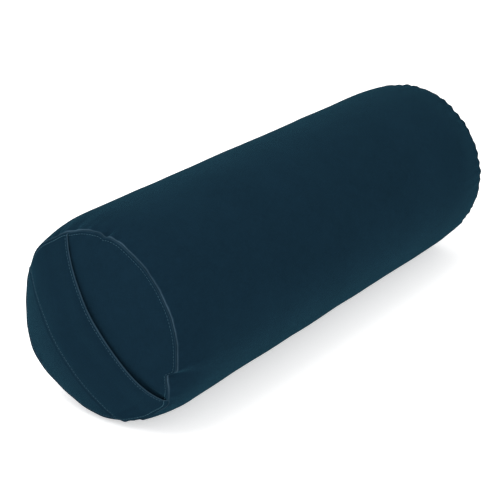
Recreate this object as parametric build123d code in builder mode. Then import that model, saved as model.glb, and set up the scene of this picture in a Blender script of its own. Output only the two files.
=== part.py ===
from build123d import *
import os
from math import asin, cos, degrees, hypot, radians, sin, sqrt

# Yoga bolster: loose husks in a zipped inner case, inside a zipped cotton cover with a carry strap.
# Units are millimetres. +X runs along the bolster, away from the carry strap, and +Z is up.
# The origin is the centre of the flat underside that the bolster rests on.

# Driving dimensions of the filled bolster
LENGTH = 650  # from end seam to end seam
RADIUS = 115  # of the tube
SEAM_RADIUS = 104  # of the two end seams, where the tube is drawn in
SHOULDER = 55  # length over which the tube rounds down to an end seam
CROWN = 28  # how far an end panel bulges past its seam
SAG = 5  # how far the weight flattens the underside

# Layers, counted inwards from the outer surface
COVER_FABRIC = 1.0
CASE_FABRIC = 0.8
LAYER_GAP = 1.0  # between the cover and the inner case
FILLING_GAP = 0.7  # between the inner case and the husks
SEAM_GAP = 0.1  # between two panels that are sewn together
THREAD_RADIUS = 0.3
THREAD_GAP = 0.03  # keeps a thread clear of the fabric that it lies on
END_TOPSTITCH = 4  # distance of the end topstitching from its seam

# Carry strap, a flat band across one end
STRAP_WIDTH = 80
STRAP_THICKNESS = 2
STRAP_ANGLE = 53  # its direction across the end, up from +Y
STRAP_OFFSET = -8  # of its centre line from the bolster's axis, as it is sewn a little to one side
STRAP_REACH = 101  # half its length, measured across the end
STRAP_FOOT = 2.6  # height of its ends over the end seam's plane
STRAP_RISE = 29  # height of its middle over the end seam's plane
STRAP_RIM_GAP = 0.5  # between its rounded ends and the end seam
STRAP_STITCH = 3  # distance of its edge stitching from its long edges

# Zips: the cover's zip is full size, and the case's is a lighter one
CHAIN_LENGTH = 500
COVER_ZIP_ANGLE = -22  # place round the tube, up from +Y
CASE_ZIP_ANGLE = 150
CASE_ZIP_SCALE = 0.8
CASE_ZIP_DISTANCE = 106.6  # of the flat round the case's zip from the bolster's axis
TAPE_WIDTH = 14
TAPE_THICKNESS = 0.6
TAPE_EDGE = 0.9  # distance of a tape's inner edge from the zip's centre line
TAPE_OVERHANG = 10  # past the chain at each end
TEETH_HEIGHT = 2
TEETH_INNER = 0.7
TEETH_ROOT = 1.8
TEETH_OUTER = 3.0
TOOTH_PITCH = 2.5
TOOTH_WIDTH = 1.3
ZIP_GAP = 0.05  # between a tape and what is clamped to it
SEWN_GAP = 0.1  # between a tape and the fabric that it is sewn to
SLIDER_ROOM = 0.5  # between a slider and the layer beneath it
ROW_ROOM = 0.5  # between a stop and a row of teeth
SLOT_HALF_WIDTH = 6.5  # of the opening that shows the teeth
SLOT_END = 1  # from each end of the chain to the end of the opening
SLOT_CUT = 8  # depth of the cut that makes the opening, enough to pass the fabric
ZIP_STITCH = 3  # distance of the topstitching from the opening's edge

# Slider and pull of a full-size zip
SLIDER_LENGTH = 15
SLIDER_NOSE = 9.6
SLIDER_TAIL = 8.6
SLIDER_PLATE = 1.2
SLIDER_GAP = 0.3  # between the slider and the tape or the teeth
SLIDER_CORNER = 1.2
FLANGE_INNER = 3.4
WEB_LENGTH = 4
WEB_THICKNESS = 1.0
BRIDGE_LENGTH = 9
BRIDGE_WIDTH = 2
BRIDGE_HEIGHT = 3
BRIDGE_CORNER = 1.2
EYE_RADIUS = 0.9
EYE_HEIGHT = 1.5  # of the eye's centre over the slider's top plate
PULL_BAR_RADIUS = 0.8
PULL_LENGTH = 26
PULL_WIDTH = 6.4
PULL_THICKNESS = 1.2
PULL_CORNER = 1.8
PULL_WINDOW_LENGTH = 6.2
PULL_WINDOW_WIDTH = 3.0
PULL_HOLE_RADIUS = 1.3
STOP_LENGTH = 3
STOP_CLEARANCE = 1  # between a stop and the slider at the end of its travel

# Worked out from the above
HALF = LENGTH / 2
AXIS_HEIGHT = RADIUS - SAG
CROWN_SPHERE = (SEAM_RADIUS**2 + CROWN**2) / (2 * CROWN)
CROWN_CENTRE = HALF + CROWN - CROWN_SPHERE
SHOULDER_ARC = (SHOULDER**2 + (RADIUS - SEAM_RADIUS) ** 2) / (2 * (RADIUS - SEAM_RADIUS))
STRAP_SAGITTA = STRAP_RISE - STRAP_FOOT
STRAP_ARC = (STRAP_REACH**2 + STRAP_SAGITTA**2) / (2 * STRAP_SAGITTA)
TOP_PLATE = TAPE_THICKNESS + ZIP_GAP + TEETH_HEIGHT + SLIDER_GAP
BOTTOM_PLATE = -SLIDER_GAP - SLIDER_PLATE
EYE = TOP_PLATE + SLIDER_PLATE + EYE_HEIGHT
STOP_PLACE = CHAIN_LENGTH / 2 - STOP_LENGTH / 2
SLIDER_REST = -STOP_PLACE + STOP_LENGTH / 2 + STOP_CLEARANCE + SLIDER_LENGTH / 2
TAPE_REACH = TAPE_EDGE + TAPE_WIDTH
# The cover's tapes are flat, so they lie just inside the tube where their outer edges touch it
COVER_INSIDE = RADIUS - COVER_FABRIC
COVER_ZIP_DISTANCE = sqrt(COVER_INSIDE**2 - TAPE_REACH**2) - SEWN_GAP - TAPE_THICKNESS
CASE_FLAT_UNDER_COVER_ZIP = COVER_ZIP_DISTANCE + BOTTOM_PLATE - SLIDER_ROOM
CASE_TAPE_DISTANCE = CASE_ZIP_DISTANCE - CASE_FABRIC - SEWN_GAP - CASE_ZIP_SCALE * TAPE_THICKNESS
FILLING_FLAT_UNDER_CASE_ZIP = CASE_TAPE_DISTANCE + CASE_ZIP_SCALE * BOTTOM_PLATE - SLIDER_ROOM

BOLSTER_AXIS = Axis((0, 0, AXIS_HEIGHT), (1, 0, 0))
AXIAL_PLANE = Plane(origin=(0, 0, AXIS_HEIGHT), x_dir=(1, 0, 0), z_dir=(0, -1, 0))


def save(part, name):
    """Label a finished piece and write it as its own file."""
    part.label = name
    export_step(part, f"parts/{name}.step")


def tangent_plane(angle, distance, along=0):
    """Plane facing away from the axis: local x runs along the bolster and local z points outwards."""
    outwards = (0, cos(radians(angle)), sin(radians(angle)))
    origin = (along, distance * outwards[1], AXIS_HEIGHT + distance * outwards[2])
    return Plane(origin=origin, x_dir=(1, 0, 0), z_dir=outwards)


def seam_point(inset):
    """Where the +X end panel meets the tube, as (x, radius), with the surface moved in by inset."""
    cap, shoulder = CROWN_SPHERE - inset, SHOULDER_ARC - inset
    run, drop = HALF - SHOULDER - CROWN_CENTRE, RADIUS - SHOULDER_ARC
    span = hypot(run, drop)
    along = (cap**2 - shoulder**2 + span**2) / (2 * span)
    across = sqrt(cap**2 - along**2)
    return CROWN_CENTRE + (along * run - across * drop) / span, (along * drop + across * run) / span


def filled_shape(inset, flats=()):
    """The solid shape, with its surface moved in by inset and cut flat beneath and at each flat."""
    seam, seam_radius = seam_point(inset)
    with BuildPart() as shape:
        with BuildSketch(AXIAL_PLANE):
            with BuildLine():
                for side in (-1, 1):
                    rim = (side * seam, seam_radius)
                    TangentArc((side * (HALF + CROWN - inset), 0), rim, tangent=(0, 1))
                    TangentArc((side * (HALF - SHOULDER), RADIUS - inset), rim, tangent=(side, 0))
                Line((SHOULDER - HALF, RADIUS - inset), (HALF - SHOULDER, RADIUS - inset))
                Line((-HALF - CROWN + inset, 0), (HALF + CROWN - inset, 0))
            make_face()
        revolve(axis=BOLSTER_AXIS)
        split(bisect_by=Plane.XY.offset(inset), keep=Keep.TOP)
        for angle, distance in flats:
            split(bisect_by=tangent_plane(angle, distance), keep=Keep.BOTTOM)
    return shape.part


def between(shell, low, high):
    """The stretch of a shell from x = low to x = high; None leaves that end alone."""
    with BuildPart() as stretch:
        add(shell)
        if low is not None:
            split(bisect_by=Plane.YZ.offset(low), keep=Keep.TOP)
        if high is not None:
            split(bisect_by=Plane.YZ.offset(high), keep=Keep.BOTTOM)
    return stretch.part


def fabric_shell(outer, inner):
    """Closed fabric bag between two solid shapes."""
    with BuildPart() as bag:
        add(outer)
        add(inner, mode=Mode.SUBTRACT)
    return bag.part


def slotted(panel, plane, half_width):
    """A side panel with the opening that shows a zip's teeth."""
    with BuildPart() as opened:
        add(panel)
        with BuildSketch(plane):
            Rectangle(CHAIN_LENGTH + 2 * SLOT_END, 2 * half_width)
        extrude(amount=SLOT_CUT, both=True, mode=Mode.SUBTRACT)
    return opened.part


def thread_rings(inset, sides):
    """Topstitching of the end seams: one ring of thread on each end panel named by its side."""
    ring_radius = SEAM_RADIUS - inset - END_TOPSTITCH
    lift = CROWN_SPHERE - inset + THREAD_RADIUS + THREAD_GAP
    height = sqrt(lift**2 - ring_radius**2) - (CROWN_SPHERE - CROWN)
    with BuildPart() as rings:
        for side in sides:
            with BuildSketch(AXIAL_PLANE):
                with Locations((side * (HALF + height), ring_radius)):
                    Circle(THREAD_RADIUS)
            revolve(axis=BOLSTER_AXIS)
    return rings.part


# Zip pieces. Each is drawn on a plane whose local z = 0 is the tapes' underside, at scale k.


def zip_tape(plane, side, k):
    """One woven tape; side is +1 or -1."""
    with BuildPart() as tape:
        with BuildSketch(plane):
            with Locations((0, side * k * (TAPE_EDGE + TAPE_WIDTH / 2))):
                Rectangle(CHAIN_LENGTH + 2 * TAPE_OVERHANG, k * TAPE_WIDTH)
        extrude(amount=k * TAPE_THICKNESS)
    return tape.part


def zip_teeth(plane, side, k):
    """One row of teeth: a bar on the tape with a comb of teeth that faces the other row."""
    bar_width = TEETH_OUTER - TEETH_ROOT
    tooth_length = TEETH_ROOT - TEETH_INNER
    row_length = CHAIN_LENGTH - 2 * STOP_LENGTH - 2 * ROW_ROOM
    count = int(row_length / (k * TOOTH_PITCH)) - 1
    with BuildPart() as row:
        with BuildSketch(plane.offset(k * (TAPE_THICKNESS + ZIP_GAP))):
            with Locations((0, side * k * (TEETH_ROOT + bar_width / 2))):
                Rectangle(row_length, k * bar_width)
            with Locations((0, side * k * (TEETH_ROOT - tooth_length / 2))):
                with GridLocations(k * TOOTH_PITCH, 0, count, 1):
                    Rectangle(k * TOOTH_WIDTH, k * tooth_length)
        extrude(amount=k * TEETH_HEIGHT)
    return row.part


def zip_stops(plane, along, spans, k):
    """Clamped stops at one end of the chain; spans lists each stop's (low, high) edges across the zip."""
    height = TAPE_THICKNESS + ZIP_GAP + TEETH_HEIGHT
    with BuildPart() as stops:
        for low, high in spans:
            with BuildSketch(plane.offset(-k * SLIDER_PLATE)):
                with Locations((along, k * (low + high) / 2)):
                    Rectangle(STOP_LENGTH, k * (high - low))
            extrude(amount=k * (height + SLIDER_PLATE))
        with BuildSketch(plane.offset(-k * ZIP_GAP)):
            for side in (-1, 1):
                with Locations((along, side * k * (TAPE_EDGE - ZIP_GAP + TAPE_WIDTH / 2))):
                    Rectangle(2 * STOP_LENGTH, k * TAPE_WIDTH)
        extrude(amount=k * (TAPE_THICKNESS + 2 * ZIP_GAP), mode=Mode.SUBTRACT)
    return stops.part


def slider_outline(k):
    """Corners of the slider's plates, which are wider at the nose."""
    nose, tail, reach = k * SLIDER_NOSE / 2, k * SLIDER_TAIL / 2, k * SLIDER_LENGTH / 2
    return (-reach, -nose), (reach, -tail), (reach, tail), (-reach, nose)


def zip_slider(plane, k):
    """Two plates joined by a web between the rows of teeth, with side flanges and a bridge with an eye."""
    rest_plane = plane.shift_origin(plane.from_local_coords((SLIDER_REST, 0, 0)))
    web_place = -k * (SLIDER_LENGTH - WEB_LENGTH) / 2
    flange_foot = TAPE_THICKNESS + SLIDER_GAP
    side_plane = Plane(origin=rest_plane.origin, x_dir=rest_plane.x_dir, z_dir=-rest_plane.y_dir)
    with BuildPart() as slider:
        for height in (BOTTOM_PLATE, TOP_PLATE):
            with BuildSketch(rest_plane.offset(k * height)) as plate:
                Polygon(*slider_outline(k), align=None)
                fillet(plate.vertices(), k * SLIDER_CORNER)
            extrude(amount=k * SLIDER_PLATE)
        with BuildSketch(rest_plane.offset(k * flange_foot)) as flanges:
            Polygon(*slider_outline(k), align=None)
            fillet(flanges.vertices(), k * SLIDER_CORNER)
            Rectangle(2 * k * SLIDER_LENGTH, 2 * k * FLANGE_INNER, mode=Mode.SUBTRACT)
        extrude(amount=k * (TOP_PLATE - flange_foot))
        with BuildSketch(rest_plane.offset(-k * SLIDER_GAP)):
            with Locations((web_place, 0)):
                SlotOverall(k * WEB_LENGTH, k * WEB_THICKNESS)
        extrude(amount=k * (TOP_PLATE + SLIDER_GAP))
        with BuildSketch(side_plane) as bridge:
            with Locations((0, k * (TOP_PLATE + SLIDER_PLATE + BRIDGE_HEIGHT / 2))):
                Rectangle(k * BRIDGE_LENGTH, k * BRIDGE_HEIGHT)
            fillet(bridge.vertices().group_by(Axis.Y)[-1], k * BRIDGE_CORNER)
            with Locations((0, k * EYE)):
                Circle(k * EYE_RADIUS, mode=Mode.SUBTRACT)
        extrude(amount=k * BRIDGE_WIDTH / 2, both=True)
    return slider.part


def zip_pull(plane, k):
    """Pull tab that lies flat at rest: a round bar in the bridge's eye, two arms, and a tab."""
    rest_plane = plane.shift_origin(plane.from_local_coords((SLIDER_REST, 0, 0)))
    side_plane = Plane(origin=rest_plane.origin, x_dir=rest_plane.x_dir, z_dir=-rest_plane.y_dir)
    window_place = PULL_BAR_RADIUS / 2 + PULL_WINDOW_LENGTH / 2
    with BuildPart() as pull:
        with BuildSketch(rest_plane.offset(k * (EYE - PULL_THICKNESS / 2))):
            with Locations((k * (PULL_LENGTH / 2 - PULL_BAR_RADIUS), 0)):
                RectangleRounded(k * PULL_LENGTH, k * PULL_WIDTH, k * PULL_CORNER)
            with Locations((k * window_place, 0)):
                Rectangle(k * PULL_WINDOW_LENGTH, k * PULL_WINDOW_WIDTH, mode=Mode.SUBTRACT)
            with Locations((-k * PULL_BAR_RADIUS, 0)):
                Rectangle(2 * k * PULL_BAR_RADIUS, k * PULL_WINDOW_WIDTH, mode=Mode.SUBTRACT)
            with Locations((k * (PULL_LENGTH - 3 * PULL_BAR_RADIUS - PULL_HOLE_RADIUS), 0)):
                Circle(k * PULL_HOLE_RADIUS, mode=Mode.SUBTRACT)
        extrude(amount=k * PULL_THICKNESS)
        with BuildSketch(side_plane):
            with Locations((0, k * EYE)):
                Circle(k * PULL_BAR_RADIUS)
        extrude(amount=k * PULL_WIDTH / 2 - k * PULL_CORNER / 2, both=True)
    return pull.part


def save_zip(prefix, plane, k):
    """Build and write the eight pieces of one zip."""
    for side, name in ((1, "upper"), (-1, "lower")):
        save(zip_tape(plane, side, k), f"{prefix}_zip_tape_{name}")
        save(zip_teeth(plane, side, k), f"{prefix}_zip_teeth_{name}")
    top_spans = [(-TEETH_OUTER, -TEETH_INNER), (TEETH_INNER, TEETH_OUTER)]
    save(zip_stops(plane, -STOP_PLACE, top_spans, k), f"{prefix}_zip_top_stops")
    save(zip_stops(plane, STOP_PLACE, [(-TEETH_OUTER, TEETH_OUTER)], k), f"{prefix}_zip_bottom_stop")
    save(zip_slider(plane, k), f"{prefix}_zip_slider")
    save(zip_pull(plane, k), f"{prefix}_zip_pull")


def strap_sheet(rise, thickness, width):
    """A curved sheet across the strap end: the strap's arc, extruded to both sides by half its width."""
    turn = radians(STRAP_ANGLE)
    along, across = (0, cos(turn), sin(turn)), (0, -sin(turn), cos(turn))
    centre = (-HALF, STRAP_OFFSET * across[1], AXIS_HEIGHT + STRAP_OFFSET * across[2])
    plane = Plane(origin=centre, x_dir=along, z_dir=across)
    arc = STRAP_ARC + rise - STRAP_RISE
    with BuildPart() as sheet:
        with BuildSketch(plane):
            with Locations((0, rise - arc)):
                Circle(arc + thickness)
                Circle(arc, mode=Mode.SUBTRACT)
            with Locations((0, rise)):
                Rectangle(2 * STRAP_REACH, 2 * rise, mode=Mode.INTERSECT)
        extrude(amount=width / 2, both=True)
    return sheet.part


def trimmed_to_rim(sheet):
    """A strap piece with its ends rounded to follow the end seam."""
    with BuildPart() as trimmed:
        add(sheet)
        with BuildSketch(Plane(origin=(-HALF, 0, AXIS_HEIGHT), x_dir=(0, 1, 0), z_dir=(-1, 0, 0))):
            Circle(SEAM_RADIUS - STRAP_RIM_GAP)
        extrude(amount=2 * STRAP_RISE, both=True, mode=Mode.INTERSECT)
    return trimmed.part


os.makedirs("parts", exist_ok=True)

cover_zip_plane = tangent_plane(COVER_ZIP_ANGLE, COVER_ZIP_DISTANCE)
case_zip_plane = tangent_plane(CASE_ZIP_ANGLE, CASE_TAPE_DISTANCE)

# Cover: a side panel with the zip's opening, and two round end panels
cover_bag = fabric_shell(filled_shape(0), filled_shape(COVER_FABRIC))
cover_tube = between(cover_bag, -HALF, HALF)
save(slotted(cover_tube, cover_zip_plane, SLOT_HALF_WIDTH), "cover_side_panel")
save(between(cover_bag, None, -HALF - SEAM_GAP), "cover_strap_end_panel")
save(between(cover_bag, HALF + SEAM_GAP, None), "cover_plain_end_panel")
save(thread_rings(0, (-1,)), "cover_strap_end_thread")
save(thread_rings(0, (1,)), "cover_plain_end_thread")
save_zip("cover", cover_zip_plane, 1)

# Topstitching on both sides of the cover's zip
with BuildPart() as zip_threads:
    thread_turn = degrees(asin((SLOT_HALF_WIDTH + ZIP_STITCH) / RADIUS))
    for turn in (-thread_turn, thread_turn):
        line_angle = radians(COVER_ZIP_ANGLE + turn)
        line_radius = RADIUS + THREAD_RADIUS + THREAD_GAP
        with BuildSketch(Plane.YZ.offset(-CHAIN_LENGTH / 2)):
            with Locations((line_radius * cos(line_angle), AXIS_HEIGHT + line_radius * sin(line_angle))):
                Circle(THREAD_RADIUS)
        extrude(amount=CHAIN_LENGTH)
save(zip_threads.part, "cover_zip_threads")

# Carry strap with a line of edge stitching along each long edge
save(trimmed_to_rim(strap_sheet(STRAP_RISE, STRAP_THICKNESS, STRAP_WIDTH)), "carry_strap")
stitch_rise = STRAP_RISE + STRAP_THICKNESS + THREAD_GAP
stitch_line = STRAP_WIDTH / 2 - STRAP_STITCH
with BuildPart() as strap_threads:
    add(strap_sheet(stitch_rise, 2 * THREAD_RADIUS, 2 * (stitch_line + THREAD_RADIUS)))
    cut_rise = stitch_rise - THREAD_RADIUS
    add(strap_sheet(cut_rise, 4 * THREAD_RADIUS, 2 * (stitch_line - THREAD_RADIUS)), mode=Mode.SUBTRACT)
save(trimmed_to_rim(strap_threads.part), "carry_strap_threads")

# Inner case: its own side panel and ends, dented flat where the two zips lie
case_inset = COVER_FABRIC + LAYER_GAP
case_flats = [(COVER_ZIP_ANGLE, CASE_FLAT_UNDER_COVER_ZIP), (CASE_ZIP_ANGLE, CASE_ZIP_DISTANCE)]
inner_flats = [(angle, distance - CASE_FABRIC) for angle, distance in case_flats]
case_inside = filled_shape(case_inset + CASE_FABRIC, inner_flats)
case_bag = fabric_shell(filled_shape(case_inset, case_flats), case_inside)
case_seam = seam_point(case_inset)[0]
case_tube = between(case_bag, -case_seam, case_seam)
save(slotted(case_tube, case_zip_plane, CASE_ZIP_SCALE * SLOT_HALF_WIDTH), "inner_case_side_panel")
save(between(case_bag, None, -case_seam - SEAM_GAP), "inner_case_strap_end_panel")
save(between(case_bag, case_seam + SEAM_GAP, None), "inner_case_plain_end_panel")
save(thread_rings(case_inset, (-1, 1)), "inner_case_end_threads")
save_zip("inner_case", case_zip_plane, CASE_ZIP_SCALE)

# Loose husks, as the space they fill
filling_inset = case_inset + CASE_FABRIC + FILLING_GAP
filling_flats = [
    (COVER_ZIP_ANGLE, CASE_FLAT_UNDER_COVER_ZIP - CASE_FABRIC - FILLING_GAP),
    (CASE_ZIP_ANGLE, FILLING_FLAT_UNDER_CASE_ZIP),
]
save(filled_shape(filling_inset, filling_flats), "husk_filling")
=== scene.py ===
"""Looks of the yoga bolster: taut cotton cover, carry strap, stitching, zips, inner case and husks."""

import math

import bpy
import numpy as np
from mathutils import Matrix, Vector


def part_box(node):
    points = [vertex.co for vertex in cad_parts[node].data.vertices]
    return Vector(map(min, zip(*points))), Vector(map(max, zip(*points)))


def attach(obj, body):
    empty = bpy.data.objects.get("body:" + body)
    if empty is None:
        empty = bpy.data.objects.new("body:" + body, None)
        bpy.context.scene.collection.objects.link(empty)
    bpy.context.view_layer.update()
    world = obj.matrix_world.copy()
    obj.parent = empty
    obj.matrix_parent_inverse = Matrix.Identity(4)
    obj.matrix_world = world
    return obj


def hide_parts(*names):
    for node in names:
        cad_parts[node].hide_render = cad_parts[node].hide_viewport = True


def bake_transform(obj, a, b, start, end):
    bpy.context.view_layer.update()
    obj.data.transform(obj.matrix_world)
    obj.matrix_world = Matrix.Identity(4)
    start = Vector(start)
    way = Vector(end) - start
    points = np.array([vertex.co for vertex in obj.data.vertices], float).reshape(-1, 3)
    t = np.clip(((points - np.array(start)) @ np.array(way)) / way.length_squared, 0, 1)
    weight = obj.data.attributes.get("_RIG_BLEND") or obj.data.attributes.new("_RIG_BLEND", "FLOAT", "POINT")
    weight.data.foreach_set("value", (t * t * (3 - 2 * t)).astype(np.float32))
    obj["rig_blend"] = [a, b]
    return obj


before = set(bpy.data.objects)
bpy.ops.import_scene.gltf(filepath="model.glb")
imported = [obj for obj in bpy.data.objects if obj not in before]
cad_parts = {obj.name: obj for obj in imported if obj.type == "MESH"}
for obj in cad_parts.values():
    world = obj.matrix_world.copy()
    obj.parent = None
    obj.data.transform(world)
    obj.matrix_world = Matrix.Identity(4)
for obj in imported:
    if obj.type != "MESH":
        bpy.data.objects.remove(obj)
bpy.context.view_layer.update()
MM = 0.001

# Sizes from the frame, in metres
SIDE_LOW, SIDE_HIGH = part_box("cover_side_panel")
END_LOW, END_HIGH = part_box("cover_strap_end_panel")
HALF = SIDE_HIGH.x
RADIUS = (SIDE_HIGH.y - SIDE_LOW.y) / 2
AXIS = np.array([0, 0, SIDE_HIGH.z - RADIUS])  # the bolster's middle
SEAM_RADIUS = (END_HIGH.y - END_LOW.y) / 2
CROWN = -HALF - END_LOW.x
SHOULDER = 55 * MM
PLAIN_DROP = 0.4  # the plain end is drawn in this much of what the strap end is: it looks fuller

# Worked out from those
CROWN_SPHERE = (SEAM_RADIUS**2 + CROWN**2) / (2 * CROWN)
SHOULDER_DROP = RADIUS - SEAM_RADIUS
SHOULDER_ARC = (SHOULDER**2 + SHOULDER_DROP**2) / (2 * SHOULDER_DROP)
SHOULDER_TURN = math.asin(SHOULDER / SHOULDER_ARC)
SHOULDER_LENGTH = SHOULDER_ARC * SHOULDER_TURN
TUBE_LENGTH = 2 * (HALF - SHOULDER + SHOULDER_LENGTH)
CAP_TURN = math.asin(SEAM_RADIUS / CROWN_SPHERE)
CAP_LENGTH = CROWN_SPHERE * CAP_TURN

# Fabric
FABRIC = 1.0 * MM
CASE_FABRIC = 0.8 * MM
LIP = 1.5 * MM  # roundness of the side panel's edge where it rolls into a seam
CAP_LIP = 0.9 * MM  # and of an end panel's
UNDERLAP = 0.3 * MM  # how far an end panel's edge reaches into the side panel's, so that the seam is closed
STITCH_LINE = 3.6 * MM  # from the end seam to its topstitching
CASE_INSET = 2.0 * MM
HUSK_INSET = 3.5 * MM
CASE_CLEAR = 2.0 * MM  # from the cover's zip down to the inner case
CASE_PROUD = 0.9 * MM  # of the case's flattened cloth over its zip
COVER_ZIP_TO_HUSKS = 4.4 * MM
CASE_ZIP_TO_HUSKS = 2.2 * MM
COLUMNS = 480
CASE_COLUMNS = 240
FIRST_STEP = 0.2 * MM  # of a grid at a seam, and how it grows away from it
STEP_GROWTH = 1.13
UNDERNEATH = -math.pi / 2  # where the grids of points start, out of sight
CAP_COLUMNS = 15  # at the middle of an end panel

# Carry strap
STRAP_TURN = math.radians(53)
STRAP_WIDTH = 75.5 * MM
STRAP_OFFSET = -8.9 * MM
STRAP_THICKNESS = 2.0 * MM
STRAP_STITCH = 3 * MM
ALONG = np.array([0, math.cos(STRAP_TURN), math.sin(STRAP_TURN)])
ACROSS = np.array([0, -math.sin(STRAP_TURN), math.cos(STRAP_TURN)])
TUBEWARDS = np.array([1, 0, 0])

# Cloth simulation
PARTS = ("tube", -1, 1)  # of the sewn bag: its tube, strap end and plain end
SIM_COLUMNS = 240
SIM_FRAMES = 20
SIM_REACH = 3 * MM
CLOTH_SETTINGS = {
    "quality": 6, "mass": 0.2, "tension_stiffness": 40, "compression_stiffness": 40, "shear_stiffness": 12,
    "bending_stiffness": 0.6, "use_pressure": True, "uniform_pressure_force": 4, "vertex_group_mass": "sewn",
}
EASE = 0.095  # how much longer the side panel's edge is than the seam that it is eased into
CAP_EASE = 0.01

# Stitches
STITCH = 2.9 * MM
STITCH_GAP = 0.7 * MM
THREAD = 0.28 * MM
STITCH_PLACES = 1441  # points along a round stitch line
STRAP_STITCHED = 0.955  # share of the strap that its edge stitching covers


# --- small helpers on arrays ---


def smooth(value, low, high):
    """0 below low, 1 above high, and a smooth step between them."""
    t = np.clip((np.asarray(value, float) - low) / (high - low), 0, 1)
    return t * t * (3 - 2 * t)


def bell(value, centre, width):
    """Bell curve of height 1."""
    return np.exp(-(((value - centre) / width) ** 2))


def turn_gap(turn, centre):
    """Signed angle from centre to turn, wrapped to half a turn each way."""
    return (turn - centre + math.pi) % (math.tau) - math.pi


def spots(turn, table):
    """Sum of bell curves round the axis, each (angle, width, size) in degrees."""
    total = 0 * turn
    for angle, width, size in table:
        total = total + size * bell(turn_gap(turn, math.radians(angle)), 0, math.radians(width))
    return total


def ripples(along, turn, rng, count, lengths, turns):
    """Smooth random ripples of height about 1: wavelengths along the part, whole waves round it."""
    total = 0
    for _ in range(count):
        length = rng.uniform(*lengths)
        waves = rng.integers(*turns)
        total = total + np.sin(math.tau * (along / length + rng.random()) + waves * turn)
    return total / math.sqrt(count / 2)


def lip(distance, roundness):
    """Depth of a panel's rolled edge, at a distance from the seam."""
    inside = np.clip(roundness - distance, 0, roundness)
    return roundness - np.sqrt(roundness**2 - inside**2)


def round_turns(count, start=0.0):
    """Evenly spaced angles of a full turn."""
    return start + np.arange(count) * math.tau / count


def kept_over(height, rounding):
    """The height where it is over 0 and 0 elsewhere, with a small rounding between."""
    return (height + np.hypot(height, rounding)) / 2


def growing_steps(first, growth, largest, total):
    """Distances from 0 to total whose steps grow from first to largest."""
    steps = [0.0]
    step = first
    while steps[-1] + 1.5 * step < total:
        steps.append(steps[-1] + step)
        step = min(largest, step * growth)
    return np.array(steps + [total])


# --- meshes ---


def grid_faces(rows, columns):
    """Quads of a grid of points numbered row by row, whose last column joins its first."""
    row, column = np.meshgrid(np.arange(rows - 1), np.arange(columns), indexing="ij")
    here, after = row * columns + column, row * columns + (column + 1) % columns
    return np.stack([here, after, after + columns, here + columns], -1).reshape(-1, 4)


def closed_faces(rows, columns, inside_out):
    """Faces of the same grid as a solid, with a flat face over its first and last rows."""
    last = (rows - 1) * columns
    faces = grid_faces(rows, columns).tolist()
    faces += [list(range(columns))[::-1], list(range(last, last + columns))]
    return [face[::-1] for face in faces] if inside_out else faces


def piece(name, points, faces, material, cloth=None, highlight_and_wear=None):
    """A smooth-shaded object; cloth holds each point's place on the flat fabric; the last argument is how
    pale each point is painted: a painted highlight along curled edges, with some rubbed wear.
    """
    mesh = bpy.data.meshes.new(name)
    mesh.from_pydata(points.reshape(-1, 3).tolist(), [], [list(f) for f in faces])
    layers = (("cloth", "FLOAT_VECTOR", "vector", cloth), ("highlight_and_wear", "FLOAT", "value", highlight_and_wear))
    for label, kind, field, values in layers:
        if values is not None:
            attribute = mesh.attributes.new(label, kind, "POINT")
            attribute.data.foreach_set(field, values.astype(np.float32).ravel())
    mesh.polygons.foreach_set("use_smooth", [True] * len(mesh.polygons))
    if material:
        mesh.materials.append(material)
    mesh.update()
    obj = bpy.data.objects.new(name, mesh)
    bpy.context.scene.collection.objects.link(obj)
    return obj


def thicken(obj, thickness):
    """Give a sheet its thickness, inwards, in its mesh."""
    solid = obj.modifiers.new("thickness", "SOLIDIFY")
    solid.thickness = thickness
    solid.offset = -1
    bpy.context.view_layer.update()
    graph = bpy.context.evaluated_depsgraph_get()
    final = obj.evaluated_get(graph)
    mesh = bpy.data.meshes.new_from_object(final, preserve_all_data_layers=True, depsgraph=graph)
    obj.modifiers.clear()
    obj.data = mesh


# --- the bolster's surface ---
# Seen from the side, places and normals are complex numbers: x + i * distance from the axis.


def tube_point(path, inset=0.0):
    """Place and normal on the tube at a path length from the strap end's seam."""
    from_middle = path - TUBE_LENGTH / 2
    side = np.sign(from_middle)
    beyond = np.clip(np.abs(from_middle) - (HALF - SHOULDER), 0, None)
    turn = beyond / SHOULDER_ARC
    straight = np.minimum(np.abs(from_middle), HALF - SHOULDER)
    arc = SHOULDER_ARC - inset
    share = np.where(side > 0, PLAIN_DROP, 1.0)
    x = side * (straight + arc * np.sin(turn))
    normal = side * share * np.sin(turn) + 1j * np.cos(turn)
    return x + 1j * (RADIUS - inset - share * arc * (1 - np.cos(turn))), normal / np.abs(normal)


def cap_point(path, side, inset=0.0):
    """Place and normal on an end panel at a path length inwards from its seam."""
    turn = CAP_TURN - path / CROWN_SPHERE
    sphere = CROWN_SPHERE - inset
    wider = 1.0 if side < 0 else PLAIN_RADIUS / SEAM_RADIUS
    x = side * (HALF + CROWN - CROWN_SPHERE + sphere * np.cos(turn))
    normal = side * np.cos(turn) + 1j * np.sin(turn) / wider
    return x + 1j * wider * sphere * np.sin(turn), normal / np.abs(normal)


PLAIN_RADIUS = RADIUS - PLAIN_DROP * SHOULDER_DROP
ALONG_SHOULDER, DOWN_CAP = np.exp(1j * SHOULDER_TURN), 1j * np.exp(-1j * CAP_TURN)
SEAM_NORMAL = 1j * (ALONG_SHOULDER + DOWN_CAP).conjugate()
SEAM_NORMAL /= abs(SEAM_NORMAL)


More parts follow.
